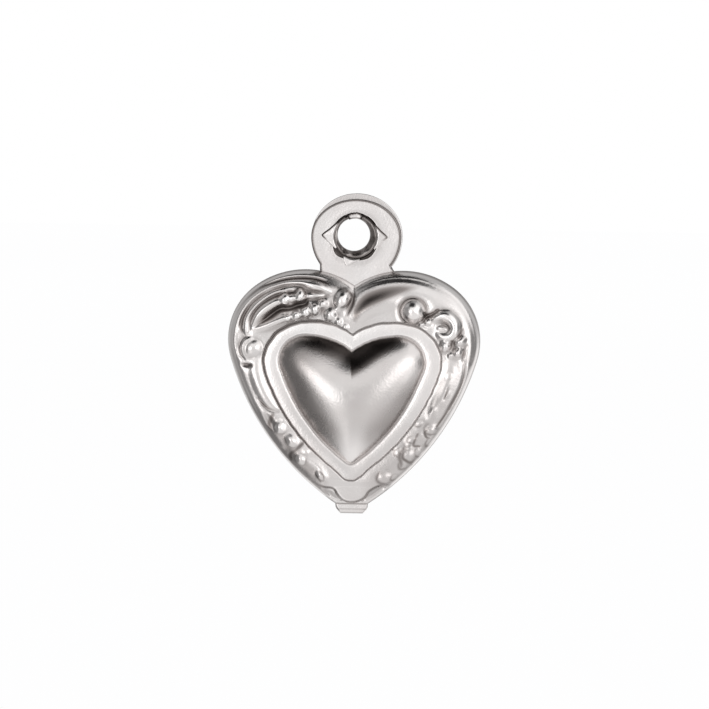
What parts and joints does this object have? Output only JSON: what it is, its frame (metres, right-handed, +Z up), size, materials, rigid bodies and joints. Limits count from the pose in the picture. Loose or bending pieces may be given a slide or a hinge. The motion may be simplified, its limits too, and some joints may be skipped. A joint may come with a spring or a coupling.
{
  "type": "heart charm",
  "caption": "Hollow puffed heart drop charm, folded from thin stamped sheet, with a clinched ring tab to hang it by.",
  "frame": {"origin": "centre of the ring hole, on the plane where the front and back halves meet", "axes": "+Z up from the heart's tip towards the ring tab, front faces -Y, +X to the right as seen from the front"},
  "size_m": [0.0126, 0.0042, 0.0161],
  "materials": {
    "silver_plate": "bright silver-coloured plating, satin on the flats; the brass under it is a guess"
  },
  "bodies": {
    "root": {"front_shell": "silver_plate", "back_shell": "silver_plate", "front_eye": "silver_plate", "back_eye": "silver_plate", "fold_strip": "silver_plate", "clinch_collar": "silver_plate", "petal_left": "silver_plate", "petal_right": "silver_plate", "petal_top": "silver_plate", "petal_bottom": "silver_plate"}
  },
  "joints": []
}
